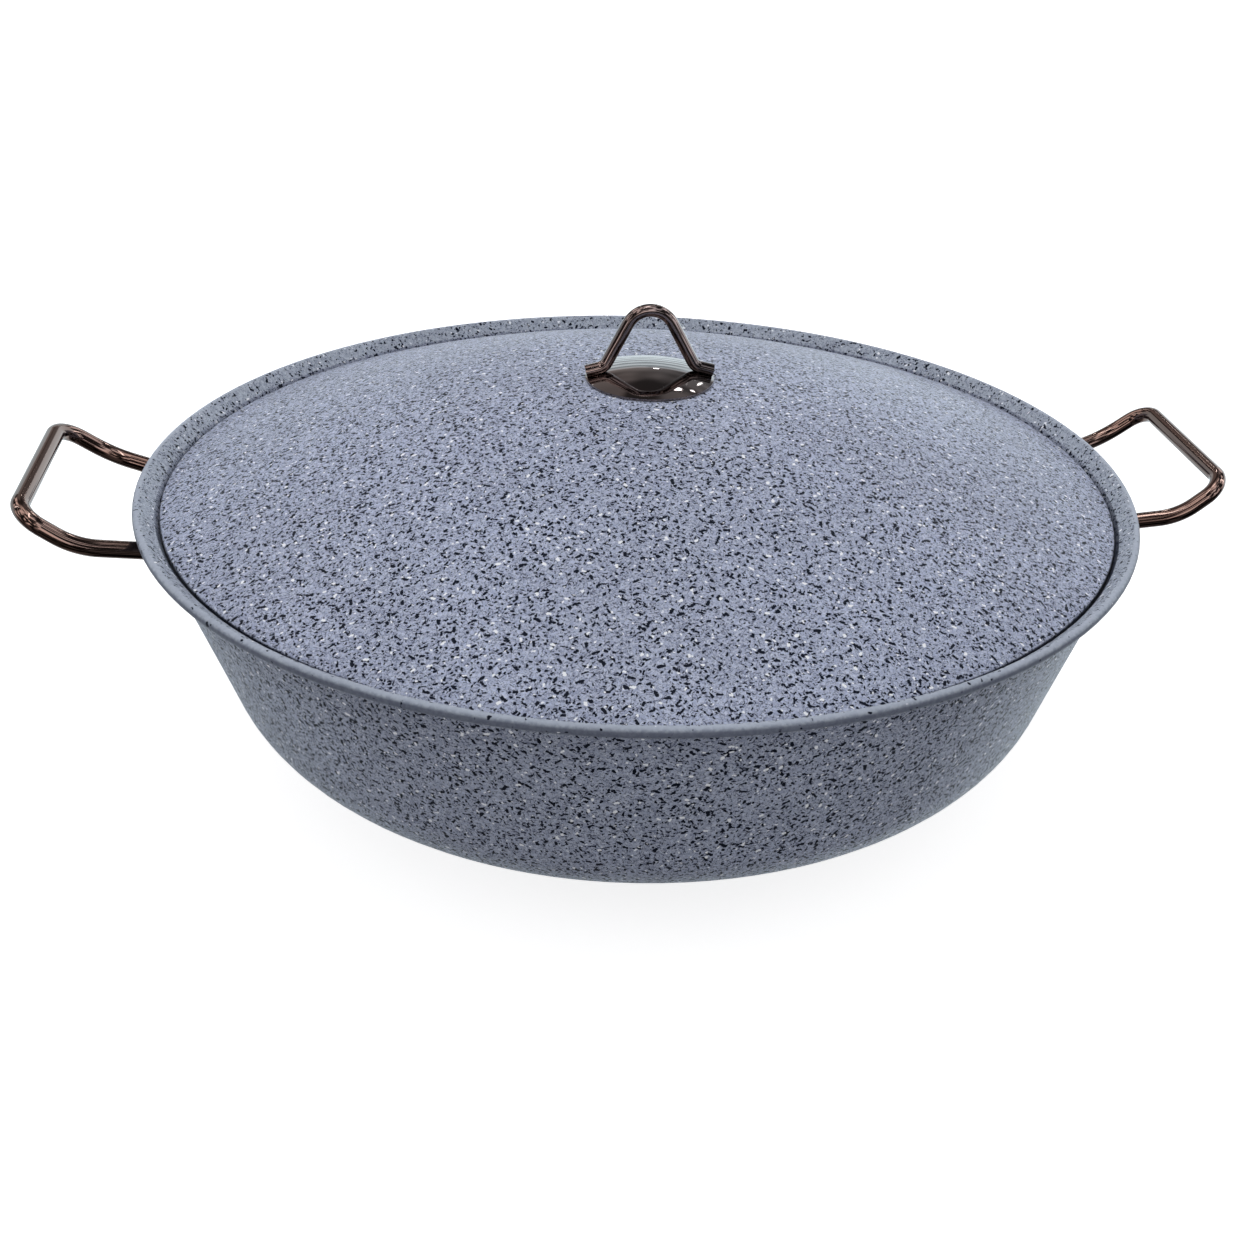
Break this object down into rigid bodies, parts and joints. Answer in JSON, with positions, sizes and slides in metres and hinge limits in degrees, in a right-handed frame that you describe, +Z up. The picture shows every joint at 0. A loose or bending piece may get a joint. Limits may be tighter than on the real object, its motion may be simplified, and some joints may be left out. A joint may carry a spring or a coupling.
{
  "type": "lidded cooking pan",
  "caption": "Large deep speckle-coated pan with flared wall, rolled rim, bent-bar side handles and a lift-off domed lid with a bow handle.",
  "frame": {"origin": "middle of the flat underside, on the table", "axes": "+Z up, +X towards the right handle, -Y the front; both side handles and the bow lie along X"},
  "size_m": [0.571, 0.4798, 0.225],
  "materials": {
    "granite_coat": "satin",
    "bronze_plate": "polished",
    "bare_steel": "satin",
    "seal_rubber": "matte"
  },
  "bodies": {
    "pan": {"pan_body": "granite_coat", "left_handle_bar": "bronze_plate", "right_handle_bar": "bronze_plate", "left_handle_front_pad": "bronze_plate", "left_handle_back_pad": "bronze_plate", "right_handle_front_pad": "bronze_plate", "right_handle_back_pad": "bronze_plate", "left_handle_rivets": "bare_steel", "right_handle_rivets": "bare_steel"},
    "lid": {"lid_shell": "granite_coat", "lid_disc": "bronze_plate", "lid_bow": "bronze_plate", "lid_boss": "bare_steel", "lid_seal": "seal_rubber", "lid_washer": "bare_steel", "lid_screw": "bare_steel"}
  },
  "joints": [
    {"name": "lid_lift", "type": "slide", "parent": "pan", "child": "lid", "axis": [0, 0, 1], "range_m": [0, 0.3]}
  ]
}
